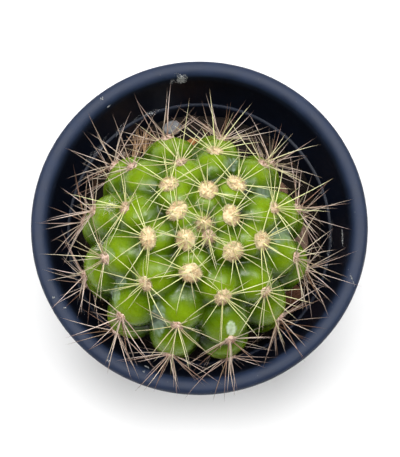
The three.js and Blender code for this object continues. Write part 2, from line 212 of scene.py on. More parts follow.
def smoothstep(x, low, high):
    t = np.clip((x - low) / (high - low), 0.0, 1.0)
    return t * t * (3 - 2 * t)


def draw(a, b, c):
    """A repeatable draw from 0 to 1, the same as in the model. Each use has its own c."""
    wave = math.sin(a * 12.9898 + b * 78.233 + c * 37.719 + SEED) * 43758.5453
    return wave - math.floor(wave)


def unit(v):
    return v / np.linalg.norm(v)


def rotated(v, axis, angle):
    return np.array(Matrix.Rotation(angle, 3, Vector(axis)) @ Vector(v))


def spun(points, angle):
    """The points turned around the upright axis."""
    return points @ np.array(Matrix.Rotation(angle, 3, "Z")).T


def aimed(turn, a, b):
    """Direction a, turned towards direction b."""
    return math.cos(turn) * a + math.sin(turn) * b


def noise_at(points, fineness, shift=0.0):
    """Smooth noise at each point, finer where the fineness is higher."""
    return np.array([noise.noise(Vector(p * fineness + shift)) for p in points])


def add_object(name, data):
    thing = bpy.data.objects.new(name, data)
    bpy.context.scene.collection.objects.link(thing)
    return thing


# ---- camera ----
def make_camera():
    data = bpy.data.cameras.new("camera")
    data.lens = data.sensor_width * FOCAL_PIXELS / PHOTO_SIZE[1]
    data.shift_x = (PHOTO_SIZE[0] / 2 - RIM_CENTRE[0]) / PHOTO_SIZE[1]
    data.shift_y = (RIM_CENTRE[1] - PHOTO_SIZE[1] / 2) / PHOTO_SIZE[1]
    data.clip_start = 0.005
    camera = add_object("camera", data)
    back = -CAMERA_DISTANCE * math.sin(CAMERA_TILT)
    height = POT_HEIGHT * MM + CAMERA_DISTANCE * math.cos(CAMERA_TILT)
    camera.location = (0, back, height)
    camera.rotation_euler = (CAMERA_TILT, 0, 0)
    bpy.context.scene.camera = camera


make_camera()


# ---- meshes ----
def mesh_object(name, points, faces, material, smooth=True):
    mesh = bpy.data.meshes.new(name)
    mesh.from_pydata((np.asarray(points) * MM).tolist(), [], faces)
    mesh.validate()
    mesh.polygons.foreach_set("use_smooth", [smooth] * len(mesh.polygons))
    mesh.materials.append(material)
    return add_object(name, mesh)


def set_attributes(piece, **attributes):
    for name, values in attributes.items():
        attribute = piece.data.attributes.new(name, "FLOAT", "POINT")
        attribute.data.foreach_set("value", np.asarray(values, np.float32))


def settle(piece, slot, *nodes):
    """The piece rides on the one body and stands for the given nodes. Its slot is not used."""
    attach(piece, "root")
    if nodes:
        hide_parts(*nodes)


def revolve(profile, sides):
    """A closed surface of revolution. The profile starts and ends on the axis."""
    angles = [math.tau * i / sides for i in range(sides)]
    points = [(0, 0, profile[0][1])]
    points += [(r * math.cos(a), r * math.sin(a), z) for r, z in profile[1:-1] for a in angles]
    points.append((0, 0, profile[-1][1]))
    last = len(points) - 1
    faces = []
    for i in range(sides):
        j = (i + 1) % sides
        faces.append((0, 1 + j, 1 + i))
        for low in range(1, last - sides, sides):
            faces.append((low + i, low + j, low + sides + j, low + sides + i))
        faces.append((last - sides + i, last - sides + j, last))
    return points, faces


def icosphere(subdivisions):
    work = bmesh.new()
    bmesh.ops.create_icosphere(work, subdivisions=subdivisions, radius=1.0)
    points = np.array([v.co for v in work.verts])
    faces = [tuple(v.index for v in f.verts) for f in work.faces]
    work.free()
    return points, faces


def join_parts(parts):
    """One list of points and faces from many."""
    faces = []
    start = 0
    for part in parts:
        faces.extend([tuple(start + i for i in f) for f in part[1]])
        start += len(part[0])
    return np.vstack([part[0] for part in parts]), faces


def joined_piece(name, parts, material, slot, *attributes):
    """One piece of many parts, each its points and faces, then a value for each attribute."""
    parts = [part for part in parts if part is not None]
    piece = mesh_object(name, *join_parts(parts), material)
    for i, attribute in enumerate(attributes, 2):
        values = [np.broadcast_to(part[i], len(part[0])) for part in parts]
        set_attributes(piece, **{attribute: np.concatenate(values)})
    settle(piece, slot)


def frame_across(direction):
    """Two unit vectors square to the direction and to each other."""
    helper = UP if abs(direction[2]) < 0.9 else RIGHT
    side = unit(np.cross(direction, helper))
    return side, np.cross(direction, side)


def tapered(path, radii, sides):
    """A closed tube along the path that ends in a point."""
    points = []
    for i in range(len(path) - 1):
        side, other = frame_across(unit(path[i + 1] - path[i]))
        for k in range(sides):
            points.append(path[i] + radii[i] * aimed(math.tau * k / sides, side, other))
    points.append(path[-1])
    tip = len(points) - 1
    faces = [tuple(range(sides))]
    for low in range(0, tip, sides):
        for k in range(sides):
            j = (k + 1) % sides
            if low < tip - sides:
                faces.append((low + j, low + k, low + sides + k, low + sides + j))
            else:
                faces.append((low + j, low + k, tip))
    return np.array(points), faces


# ---- materials ----
def feed(socket, value):
    """Gives a socket a number, a vector, a colour or the output of a node."""
    if isinstance(value, bpy.types.NodeSocket):
        socket.id_data.links.new(value, socket)
    else:
        socket.default_value = (*value, 1) if socket.type == "RGBA" else value


def add_node(tree, kind, **inputs):
    """A shader node with its inputs fed by name, where _ stands for a space."""
    node = tree.nodes.new("ShaderNode" + kind)
    for name, value in inputs.items():
        feed(node.inputs[name.replace("_", " ")], value)
    return node


class Paint:
    """A Principled material with short ways to add the nodes that vary it."""

    def __init__(self, name, roughness=0.5, specular=0.5):
        self.material = bpy.data.materials.new(name)
        self.material.use_nodes = True
        self.tree = self.material.node_tree
        self.shader = self.tree.nodes["Principled BSDF"]
        self.shader.inputs["Roughness"].default_value = roughness
        self.shader.inputs["Specular IOR Level"].default_value = specular
        self.place = self.node("TexCoord").outputs["Object"]

    def node(self, kind, **inputs):
        return add_node(self.tree, kind, **inputs)

    def noise(self, size_mm, detail=4.0, roughness=0.55, stretch=(1, 1, 1)):
        place = self.node("Mapping", Vector=self.place, Scale=stretch).outputs["Vector"]
        node = self.node("TexNoise", Vector=place, Detail=detail, Roughness=roughness)
        node.inputs["Scale"].default_value = 1 / (size_mm * MM)
        return node.outputs["Fac"]

    def cells(self, size_mm):
        node = self.node("TexVoronoi", Vector=self.place, Scale=1 / (size_mm * MM))
        return node.outputs["Distance"]

    def attribute(self, name):
        node = self.node("Attribute")
        node.attribute_name = name
        return node.outputs["Fac"]

    def height_mm(self):
        """Height above the pot's foot."""
        height = self.node("SeparateXYZ", Vector=self.place).outputs["Z"]
        return self.math("MULTIPLY", height, 1 / MM)

    def between(self, value, low, high):
        """0 below low, 1 above high."""
        node = self.node("MapRange", Value=value, From_Min=low, From_Max=high)
        node.interpolation_type = "SMOOTHSTEP"
        return node.outputs["Result"]

    def ramp(self, value, *stops):
        """Colours, or greys given as numbers, at places from 0 to 1."""
        node = self.node("ValToRGB", Fac=value)
        elements = node.color_ramp.elements
        while len(elements) < len(stops):
            elements.new(0.5)
        for element, (at, shade) in zip(elements, stops):
            element.position = at
            element.color = (*shade, 1) if isinstance(shade, tuple) else (shade, shade, shade, 1)
        return node.outputs["Color"]

    def blend(self, share, a, b, kind="MIX"):
        """Colour a where the share is 0 and b where it is 1. Each is an output or a colour."""
        node = self.node("Mix")
        node.data_type = "RGBA"
        node.blend_type = kind
        for index, value in ((0, share), (6, a), (7, b)):
            feed(node.inputs[index], value)
        return node.outputs[2]

    def math(self, kind, result, *others):
        """The operation on the first value and each of the others in turn."""
        for other in others:
            node = self.node("Math")
            node.operation = kind
            feed(node.inputs[0], result)
            feed(node.inputs[1], other)
            result = node.outputs[0]
        return result

    def rough(self, output):
        feed(self.shader.inputs["Roughness"], output)

    def finished(self, colour, relief, depth_mm, strength):
        """The material, once it has its colour and its fine relief."""
        feed(self.shader.inputs["Base Color"], colour)
        node = self.node("Bump", Height=relief, Distance=depth_mm * MM, Strength=strength)
        feed(self.shader.inputs["Normal"], node.outputs["Normal"])
        return self.material


def two_tone(paint, grain, dark, light, depth_mm, strength=0.8):
    """Dark where the grain is low and light where it is high, and rough by the same grain."""
    colour = paint.ramp(grain, (0.3, dark), (0.7, light))
    return paint.finished(colour, grain, depth_mm, strength)


def plastic():
    """Navy moulded plastic with some dust: darkened inside as painted shade, scuffed and faded on the
    rim, and partly lighter outside.
    """
    paint = Paint("pot_plastic", specular=0.42)
    smear = paint.noise(6, detail=6, roughness=0.6)
    streaks = paint.noise(1.2, detail=5, roughness=0.6, stretch=(1, 1, 0.25))
    outer = paint.attribute("outer")
    rim = paint.between(paint.height_mm(), *RIM_WEAR_AND_UNSHADED)
    # 1 on the scuffed rim, partly outside, 0 inside, where the darker colour stays as painted shade
    worn_and_unshaded = paint.math("MAXIMUM", rim, paint.math("MULTIPLY", outer, 0.45))
    # the darker colour is painted shade inside the pot; the lighter one is the plastic on the rim,
    # also scuffed and faded there, and partly outside
    smooth = paint.ramp(smear, (0.3, (0.0006, 0.0024, 0.0085)), (0.75, (0.0016, 0.0048, 0.0150)))
    faded_unshaded = paint.ramp(smear, (0.3, (0.0052, 0.0130, 0.0370)), (0.75, (0.0120, 0.0235, 0.0580)))
    dust = paint.ramp(paint.noise(0.9, detail=6, roughness=0.7), (0.60, 0.0), (0.74, 1.0))
    specks = paint.ramp(paint.cells(2.6), (0.0, 1.0), (0.05, 0.7), (0.09, 0.0))
    foot_dust = paint.ramp(paint.noise(2.2, detail=7, roughness=0.7), (0.45, 0.0), (0.75, 1.0))
    low = paint.math("SUBTRACT", 1.0, paint.between(paint.height_mm(), *FOOT_DUST))
    thin = paint.math(
        "MAXIMUM",
        paint.math("MULTIPLY", dust, worn_and_unshaded, 0.05),
        paint.math("MULTIPLY", specks, 0.14),
        paint.math("MULTIPLY", foot_dust, low, outer, 0.10),
    )
    colour = paint.blend(thin, paint.blend(worn_and_unshaded, smooth, faded_unshaded), (0.30, 0.31, 0.33))
    rough_smooth = paint.ramp(streaks, (0.25, 0.36), (0.8, 0.50))
    rough_worn = paint.ramp(smear, (0.25, 0.58), (0.8, 0.72))
    paint.rough(paint.blend(worn_and_unshaded, rough_smooth, rough_worn))
    return paint.finished(colour, paint.noise(0.35, detail=3), 0.02, 0.35)


def soil_paint():
    paint = Paint("soil", roughness=0.95, specular=0.2)
    grain = paint.noise(0.9, detail=8, roughness=0.7)
    colour = paint.ramp(grain, (0.35, (0.002, 0.0015, 0.001)), (0.72, (0.016, 0.010, 0.007)))
    return paint.finished(colour, grain, 0.35, 0.8)


def crumb_paint(name, palest):
    """Loose bits of the mix, from black peat to brown husk, by the tone of each."""
    paint = Paint(name, roughness=0.9, specular=0.2)
    tone = paint.ramp(
        paint.attribute("tone"),
        (0.0, (0.004, 0.003, 0.002)),
        (0.62, (0.014, 0.008, 0.006)),
        (0.84, (0.050, 0.024, 0.013)),
        (0.95, (0.14, 0.075, 0.040)),
        (1.0, palest),
    )
    grain = paint.noise(0.4, detail=4)
    colour = paint.blend(0.35, tone, paint.ramp(grain, (0.3, 0.0), (0.7, 1.0)), "MULTIPLY")
    return paint.finished(colour, grain, 0.2, 0.7)


def husk_paint(name, dark, light):
    """Coconut husk: cork-like, with fibres along the chip."""
    paint = Paint(name, roughness=0.85, specular=0.25)
    fibres = paint.noise(0.9, detail=6, roughness=0.65, stretch=(1, 3, 3))
    return two_tone(paint, fibres, dark, light, 0.3)


def stone_paint():
    paint = Paint("pumice", roughness=0.9, specular=0.3)
    cloud = paint.noise(1.4, detail=6)
    colour = paint.ramp(cloud, (0.3, (0.09, 0.09, 0.10)), (0.7, (0.24, 0.24, 0.24)))
    return paint.finished(colour, paint.cells(0.7), 0.3, 0.7)


def skin():
    """Bright green waxy skin with dried films and a dried drop: painted shade darkens the creases and
    painted light brightens the tubercle tops.
    """
    paint = Paint("cactus_skin", specular=0.24)
    film = paint.attribute("film")
    cork = paint.attribute("cork")
    # by relief: dark in the creases as painted shade, light on the tubercle tops as painted light
    green = paint.ramp(
        paint.attribute("relief"),
        (0.10, (0.002, 0.006, 0.0005)),
        (0.40, (0.020, 0.044, 0.001)),
        (0.70, (0.070, 0.134, 0.002)),
        (0.97, (0.170, 0.275, 0.005)),
    )
    mottle = paint.ramp(paint.noise(2.6, detail=7, roughness=0.65), (0.3, 0.70), (0.7, 1.0))
    green = paint.blend(0.8, green, mottle, "MULTIPLY")
    green = paint.blend(film, green, (0.34, 0.44, 0.36))
    green = paint.blend(paint.attribute("drop"), green, (0.66, 0.78, 0.58))
    colour = paint.blend(cork, green, (0.13, 0.085, 0.040))
    rough = paint.ramp(paint.noise(1.5, detail=5), (0.3, 0.21), (0.7, 0.35))
    paint.rough(paint.blend(paint.math("MAXIMUM", film, cork), rough, (0.7, 0.7, 0.7)))
    paint.shader.inputs["Subsurface Weight"].default_value = 0.12
    paint.shader.inputs["Subsurface Radius"].default_value = (0.4, 1.0, 0.15)
    paint.shader.inputs["Subsurface Scale"].default_value = 1.5 * MM
    return paint.finished(colour, paint.noise(0.45, detail=3), 0.03, 0.5)


def wool():
    """Felted areole wool: peach on young areoles, pinkish brown on old ones and in the middle."""
    paint = Paint("areole_wool", roughness=0.95, specular=0.1)
    tone = paint.attribute("tone")
    young = paint.ramp(
        tone,
        (0.05, (0.48, 0.25, 0.15)),
        (0.4, (0.75, 0.56, 0.33)),
        (0.88, (0.81, 0.71, 0.46)),
        (1.0, (0.78, 0.79, 0.70)),
    )
    old = paint.ramp(
        tone,
        (0.05, (0.20, 0.090, 0.065)),
        (0.5, (0.48, 0.30, 0.23)),
        (1.0, (0.80, 0.66, 0.55)),
    )
    colour = paint.blend(paint.attribute("age"), young, old)
    return paint.finished(colour, paint.noise(0.25, detail=4), 0.1, 0.6)


def spine_paint():
    """Spines: pale yellow-green when young, tan and grey-brown when old, with darker tips."""
    paint = Paint("spine", roughness=0.42, specular=0.5)
    along = paint.attribute("along")
    age = paint.attribute("age")
    young = paint.ramp(
        along,
        (0.0, (0.50, 0.46, 0.16)),
        (0.3, (0.74, 0.77, 0.32)),
        (0.8, (0.79, 0.80, 0.45)),
        (1.0, (0.54, 0.38, 0.22)),
    )
    old = paint.ramp(
        along,
        (0.0, (0.21, 0.10, 0.07)),
        (0.2, (0.58, 0.44, 0.36)),
        (0.65, (0.66, 0.54, 0.48)),
        (1.0, (0.21, 0.12, 0.10)),
    )
    shade = paint.ramp(
        paint.attribute("tone"),
        (0.0, (0.28, 0.17, 0.11)),
        (0.25, (0.48, 0.40, 0.35)),
        (0.6, (0.74, 0.73, 0.72)),
        (1.0, (1.0, 0.99, 0.97)),
    )
    strength = paint.ramp(age, (0.0, 0.45), (1.0, 1.0))
    colour = paint.blend(strength, paint.blend(age, young, old), shade, "MULTIPLY")
    return paint.finished(colour, paint.noise(0.3, detail=2), 0.02, 0.3)


def crust_paint():
    """Dried minerals: dark grey where thin, whitish where thick."""
    paint = Paint("mineral_crust", roughness=0.9, specular=0.2)
    colour = paint.ramp(
        paint.attribute("tone"),
        (0.0, (0.040, 0.044, 0.050)),
        (0.5, (0.17, 0.18, 0.19)),
        (1.0, (0.55, 0.56, 0.55)),
    )
    return paint.finished(colour, paint.noise(0.3, detail=5), 0.1, 0.6)


def floor_paint():
    paint = Paint("floor", roughness=0.8, specular=0.2)
    colour = paint.ramp(paint.noise(40), (0.0, (0.88, 0.88, 0.88)), (1.0, (0.90, 0.90, 0.90)))
    feed(paint.shader.inputs["Base Color"], colour)
    return paint.material


# ---- pot ----
def wall_radius(z):
    if z >= LEDGE_HEIGHT:
        share = min(1.0, (z - LEDGE_HEIGHT) / (POT_HEIGHT - CROWN_RISE - LEDGE_HEIGHT))
        return mix(LEDGE_RADIUS, MOUTH_RADIUS, share)
    share = (z - FLOOR_TOP) / (LEDGE_HEIGHT - FLOOR_TOP)
    return mix(FOOT_RADIUS - WALL, LEDGE_RADIUS - LEDGE_WIDTH, share)


def pot_profile():
    crown_z = POT_HEIGHT - CROWN_RISE
    shoulder_z = crown_z - EDGE / 3
    skirt_z = POT_HEIGHT - SKIRT_DROP
    skirt = RIM_RADIUS - WALL
    outside = MOUTH_RADIUS + WALL
    step = LEDGE_RADIUS - LEDGE_WIDTH
    inside = FOOT_RADIUS - WALL
    lip = 0.25
    profile = [
        (0, 0),
        (PAD_RADIUS, 0),
        (DRAIN_RING[0], FLOOR_LIFT),
        (DRAIN_RING[1], FLOOR_LIFT),
        (DRAIN_RING[1] + EDGE, 0),
        (FOOT_RADIUS - EDGE, 0),
    ]
    for angle in (-60, -30, 0):
        turn = math.radians(angle)
        profile.append((FOOT_RADIUS - EDGE + EDGE * math.cos(turn), EDGE + EDGE * math.sin(turn)))
    profile += [
        (LEDGE_RADIUS, LEDGE_HEIGHT - WALL),
        (LEDGE_RADIUS + 0.35 * WALL, LEDGE_HEIGHT - 0.75 * WALL),
        (LEDGE_RADIUS + 0.8 * WALL, LEDGE_HEIGHT - 0.25 * WALL),
        (LEDGE_RADIUS + WALL, LEDGE_HEIGHT),
        (outside, crown_z - EDGE),
        (outside + lip, shoulder_z),
        (CROWN_TOP_RADIUS, POT_HEIGHT - 1.2 * WALL),
        (skirt - lip, shoulder_z),
        (skirt, crown_z - EDGE),
        (skirt, skirt_z + lip),
        (skirt + lip, skirt_z),
        (RIM_RADIUS - lip, skirt_z),
        (RIM_RADIUS, skirt_z + lip),
    ]
    for angle in range(0, 181, 10):
        turn = math.radians(angle)
        reach = RIM_RADIUS - CROWN_TOP_RADIUS if angle < 90 else CROWN_TOP_RADIUS - MOUTH_RADIUS
        across = math.copysign(abs(math.cos(turn)) ** CROWN_SQUARENESS, math.cos(turn))
        rise = math.sin(turn) ** CROWN_SQUARENESS
        profile.append((CROWN_TOP_RADIUS + reach * across, crown_z + CROWN_RISE * rise))
    profile += [
        (LEDGE_RADIUS, LEDGE_HEIGHT + SOFT_EDGE),
        (LEDGE_RADIUS - SOFT_EDGE / 3, LEDGE_HEIGHT + SOFT_EDGE / 3),
        (LEDGE_RADIUS - SOFT_EDGE, LEDGE_HEIGHT),
        (step + SOFT_EDGE, LEDGE_HEIGHT - SOFT_EDGE / 3),
        (step + SOFT_EDGE / 3, LEDGE_HEIGHT - SOFT_EDGE),
        (step, LEDGE_HEIGHT - 2 * SOFT_EDGE),
        (inside, FLOOR_TOP + 1),
        (inside - SOFT_EDGE, FLOOR_TOP + SOFT_EDGE),
        (inside - 1, FLOOR_TOP),
        (0, FLOOR_TOP),
    ]
    return profile


def cut(piece, cutters):
    """Cuts the cutters out of the piece and removes them."""
    modifier = piece.modifiers.new("cut", "BOOLEAN")
    modifier.operation = "DIFFERENCE"
    modifier.solver = "EXACT"
    modifier.object = cutters
    bpy.context.view_layer.update()
    depsgraph = bpy.context.evaluated_depsgraph_get()
    done = bpy.data.meshes.new_from_object(piece.evaluated_get(depsgraph))
    piece.modifiers.clear()
    piece.data = done
    bpy.data.objects.remove(cutters)


def prism(outline, low, high):
    """An upright block over the outline."""
    sides = len(outline)
    points = [(x, y, z) for z in (low, high) for x, y in outline]
    faces = [tuple(reversed(range(sides))), tuple(range(sides, 2 * sides))]
    for i in range(sides):
        j = (i + 1) % sides
        faces.append((i, j, sides + j, sides + i))
    return np.array(points), faces


def drain_cutter(x, y):
    circle = [math.tau * i / DRAIN_SIDES for i in range(DRAIN_SIDES)]
    radius = DRAIN_DIAMETER / 2
    outline = [(x + radius * math.cos(a), y + radius * math.sin(a)) for a in circle]
    return prism(outline, -1, FLOOR_TOP + 1)


def notch_cutter(angle):
    inner = DRAIN_RING[1] - 1
    outer = FOOT_RADIUS + NOTCH_OVERRUN
    side = NOTCH_WIDTH / 2
    corners = [(inner, -side, 0), (outer, -side, 0), (outer, side, 0), (inner, side, 0)]
    return prism([rotated(corner, UP, angle)[:2] for corner in corners], -FLOOR_LIFT, FLOOR_LIFT)


def make_pot():
    material = plastic()
    pot = mesh_object("pot_shell", *revolve(pot_profile(), POT_SIDES), material)
    middle = sum(DRAIN_RING) / 2
    parts = []
    for i in range(DRAIN_HOLES):
        angle = (i + 0.5) / DRAIN_HOLES * math.tau
        parts.append(drain_cutter(middle * math.cos(angle), middle * math.sin(angle)))
    for i in range(NOTCHES):
        parts.append(notch_cutter(i / NOTCHES * math.tau))
    cut(pot, mesh_object("cutters", *join_parts(parts), material, smooth=False))
    pot.data.set_sharp_from_angle(angle=SHARP_EDGE)
    places = np.array([v.co for v in pot.data.vertices]) / MM
    reach = np.hypot(places[:, 0], places[:, 1])
    inside = np.array([wall_radius(z) for z in places[:, 2]])
    below = places[:, 2] < FLOOR_TOP - WALL / 2
    set_attributes(pot, outer=(reach > inside + 0.45 * WALL) | below)
    settle(pot, "pot_plastic", "pot")
    return pot


# ---- plant shape ----
def leaned(v):
    right = Matrix.Rotation(LEAN_RIGHT, 3, "Y")
    back = Matrix.Rotation(-LEAN_BACK, 3, "X")
    return v @ np.array(back @ right).T


def plant_point(u, depth):
    rise = np.where(u[:, 2] > 0, PLANT_RISE, PLANT_DROP)
    axes = np.stack([np.full(len(u), PLANT_RADIUS), np.full(len(u), PLANT_RADIUS), rise], axis=1)
    normal = u / axes
    normal /= np.linalg.norm(normal, axis=1, keepdims=True)
    return leaned(u * axes - normal * np.asarray(depth)[:, None]) + PLANT_CENTRE


PLANT_FOOT = plant_point(np.array([[0.0, 0.0, -1.0]]), [0.0])[0, :2]  # where it stands in the soil


def areole(n):
    turned = SPIRAL_PHASE + n * SPIRAL_TURN
    grown = SPIRAL_STEP * (n + SPIRAL_START) * (1 - SPIRAL_UNEVEN * math.sin(turned))
    outward, sideways = OFF_SPIRAL.get(n, (0.0, 0.0))
    around = turned + sideways / (PLANT_RADIUS * math.sin(grown))
    polar = grown + outward / PLANT_RADIUS
    out = aimed(around, RIGHT, AHEAD)
    area = math.tau * math.sin(grown) * SPIRAL_STEP
    spacing = PLANT_RADIUS * math.sqrt(area * 2 / math.sqrt(3))
    ribbed = smoothstep(polar, *RIB_START)
    return {
        "n": n,
        "u": aimed(polar, UP, out),
        "away": aimed(polar, out, -UP),
        "across": aimed(around, AHEAD, -RIGHT),
        "half_width": spacing * TUBERCLE_REACH,
        "half_length": spacing * mix(TUBERCLE_REACH, RIB_REACH, ribbed),
        "shift": spacing * SUMMIT_SHIFT,
        "crest": 1 + CREST_CHANGE * (draw(n, 1, 7) - 0.5),
        "turn": draw(n, 0, 2) * math.tau,
    }


TUBERCLES = [areole(n) for n in range(FIRST_AREOLE - 1, LAST_TUBERCLE + 1)]
AREOLES = [t for t in TUBERCLES if FIRST_AREOLE <= t["n"] <= LAST_AREOLE]


def relief(u, sharpness=GROOVE_SHARPNESS):
    """Height of the tubercles in each direction: 0 in a groove, 1 on a summit."""
    total = np.ones(len(u))
    for t in TUBERCLES:
        off = u - t["u"]
        x = off @ t["across"] * PLANT_RADIUS / t["half_width"]
        y = (off @ t["away"] * PLANT_RADIUS + t["shift"]) / t["half_length"]
        near = (off * off).sum(axis=1) < TUBERCLE_RANGE
        bump = np.where(near, np.exp(sharpness * (t["crest"] - x * x - y * y)), 0.0)
        total += bump
    return np.log(total) / sharpness


def groove_depth(u):
    polar = np.arccos(np.clip(u[:, 2], -1, 1))
    fade = mix(1.0, RELIEF_KEPT, smoothstep(polar, *RELIEF_FADE))
    return GROOVE_DEPTH * np.sqrt(np.sin(polar)) * fade


def surface(u):
    return plant_point(u, groove_depth(u) * (1 - relief(u)))


def seat(t):
    """Point, two directions along the surface and the normal at an areole."""
    ways = np.array([t["away"], -t["away"], t["across"], -t["across"]])
    around = t["u"] + SEAT_PROBE * ways
    around /= np.linalg.norm(around, axis=1, keepdims=True)
    at, ahead, behind, right, left = surface(np.vstack([t["u"], around]))
    away = unit(ahead - behind)
    normal = unit(np.cross(away, unit(right - left)))
    return {"at": at, "away": away, "across": np.cross(normal, away), "normal": normal}


# ---- body ----
# what has dried on the skin: the pixel of the photo, half the size in pixels, how thick
FILMS = [
    ((158.5, 318.5), (7.5, 16.5), 0.52),
    ((115.5, 294.0), (4.5, 8.0), 0.45),
    ((120.5, 280.0), (5.5, 6.0), 0.40),
    ((263.0, 192.5), (9.0, 5.5), 0.45),
    ((231.0, 164.5), (7.0, 6.5), 0.42),
    ((281.0, 235.5), (10.5, 8.5), 0.38),
    ((108.5, 254.0), (6.0, 7.0), 0.30),
]
DRIED_DROP = ((231.3, 328.3), (5.2, 8.2))
DRIED_RAGGED = 0.22  # of its half size
RAGGED_SIZE = 1.3
STREAK_SIZE = 0.8
FILM_FADE = (0.75, 1.0)  # of its half size
FILM_RING = (0.86, 0.09, 1.9)  # place, width and strength of the paler edge
DROP_FADE = (0.82, 0.98)


def photo_pixels(points):
    """Where the photo shows each point, given in mm."""
    place = bpy.context.scene.camera.matrix_basis
    local = (points - np.array(place.translation) / MM) @ np.array(place.to_3x3())
    scale = FOCAL_PIXELS / -local[:, 2]
    x = RIM_CENTRE[0] + local[:, 0] * scale
    y = RIM_CENTRE[1] - local[:, 1] * scale
    return np.stack([x, y], axis=1)


def photo_ray(pixel):
    """A pixel of the photo as a ray from the camera, in mm."""
    place = bpy.context.scene.camera.matrix_basis
    x = pixel[0] - RIM_CENTRE[0]
    y = RIM_CENTRE[1] - pixel[1]
    return place.translation / MM, (place.to_3x3() @ Vector((x, y, -FOCAL_PIXELS))).normalized()


def hit_tree(piece):
    """A finder of surface points on the piece, in mm."""
    points = [v.co / MM for v in piece.data.vertices]
    return BVHTree.FromPolygons(points, [tuple(f.vertices) for f in piece.data.polygons])


def photo_hit(tree, pixel):
    """The point and normal that the photo shows at a pixel."""
    at, normal, _, _ = tree.ray_cast(*photo_ray(pixel))
    return np.array(at), np.array(normal)


def from_patch(pixels, middle, half):
    """Distance from the middle of a patch, 1 at its edge."""
    off = (pixels - np.array(middle)) / np.array(half)
    return np.hypot(off[:, 0], off[:, 1])


def plump_relief(u):
    height = relief(u, BODY_SHARPNESS)
    return np.where(height < 1, 1 - np.clip(1 - height, 0, 1) ** PLUMPNESS, height)


def make_body():
    u, faces = icosphere(7)
    height = plump_relief(u)
    points = plant_point(u, groove_depth(u) * (1 - height))
    outward = points - PLANT_CENTRE
    outward /= np.linalg.norm(outward, axis=1, keepdims=True)
    for size, rise in SKIN_LUMPS:
        points = points + outward * (rise * noise_at(points, 1 / size))[:, None]
    body = mesh_object("cactus_body", points, faces, skin())
    pixels = photo_pixels(points)
    seen = smoothstep(outward[:, 2], 0.0, 0.15)
    edge = DRIED_RAGGED * noise_at(points, 1 / RAGGED_SIZE)
    streaks = noise_at(points, 1 / STREAK_SIZE)
    film = np.zeros(len(points))
    for middle, half, strength in FILMS:
        away = from_patch(pixels, middle, half) + edge
        inside = (1 - smoothstep(away, *FILM_FADE)) * (0.70 + 0.9 * streaks)
        at, width, paler = FILM_RING
        ring = np.exp(-(((away - at) / width) ** 2)) * paler * (0.5 + 1.2 * streaks)
        film = np.maximum(film, strength * np.maximum(inside, ring))
    drop = 1 - smoothstep(from_patch(pixels, *DRIED_DROP) + 0.6 * edge, *DROP_FADE)
    set_attributes(
        body,
        relief=np.clip(height, 0, 1),
        film=np.clip(film * seen, 0, 0.8),
        drop=np.clip(drop * seen * (0.75 + 0.5 * streaks), 0, 0.95),
        cork=1 - smoothstep(points[:, 2], *CORK_HEIGHTS),
    )
    settle(body, "plant", "cactus")
    return body


def make_neck():
    profile = [
        (0, NECK_FOOT_HEIGHT),
        (NECK_FOOT_RADIUS - 0.6, NECK_FOOT_HEIGHT),
        (NECK_FOOT_RADIUS, NECK_FOOT_HEIGHT + 0.8),
    ]
    for i in range(1, 9):
        height = mix(NECK_FOOT_HEIGHT + 0.8, NECK_TOP_HEIGHT, i / 8)
        profile.append((mix(NECK_FOOT_RADIUS, NECK_RADIUS, i / 8), height))
    profile.append((0, NECK_TOP_HEIGHT))
    points, faces = revolve(profile, NECK_SIDES)
    points = np.array(points, float)
    wrinkles = noise_at(points, np.array([0.5, 0.5, 1.4]))
    points[:, :2] *= (0.98 - 0.03 * wrinkles)[:, None]
    points[:, :2] += PLANT_FOOT
    paint = Paint("root_neck", roughness=0.9, specular=0.2)
    bark = paint.noise(1.2, detail=6)
    material = two_tone(paint, bark, (0.05, 0.03, 0.015), (0.16, 0.10, 0.05), 0.3, 0.7)
    settle(mesh_object("root_neck", points, faces, material), "plant")


# ---- areoles ----
def wool_radius(n):
    aged = smoothstep(n, *WOOL_AGEING)
    grown = NEWEST_SHARE if n < 1 else 1.0
    return mix(*AREOLE_RADIUS, aged) * grown


def wool_age(n):
    """0 for peach wool, 1 for brown. The very newest is brown too."""
    return 0.75 if n == FIRST_AREOLE else float(smoothstep(n, *WOOL_BROWNING))


def wool_axes(t, place):
    """Directions along the skin and off it, longer along one of them."""
    turn = draw(t["n"], 3, 20) * math.pi
    stretch = 1 + WOOL_STRETCH * draw(t["n"], 4, 20)
    long = aimed(turn, place["away"], place["across"])
    short = aimed(turn, place["across"], -place["away"])
    return np.array([long * stretch, short / stretch, place["normal"] * WOOL_HEIGHT])


def wool_dome(t, place, sphere):
    """A felted cushion with a fluffy outline, its lower half in the body."""
    points, faces = sphere
    n = t["n"]
    lumps = noise_at(points, 1.6, n * 3.7)
    tufts = noise_at(points, 8.0, n * 1.9)
    swell = 1 + WOOL_LUMPS * lumps + WOOL_TUFTS * tufts
    world = (points * swell[:, None] * wool_radius(n) * WOOL_CORE) @ wool_axes(t, place) + place["at"]
    # the tone falls towards the cushion's lower side, away from the crown: painted shade
    outer = (world - place["at"]) @ place["away"] / wool_radius(n)
    tone = np.clip(0.58 + 0.60 * tufts + 0.2 * lumps - 0.34 * np.clip(outer, -0.2, 1), 0, 0.9)
    return world, faces, wool_age(n), tone


def hair(path, radius, age, tone):
    """A thin thread that ends in a point."""
    return (*tapered(path, [radius, 0.8 * radius], 3), age, tone)


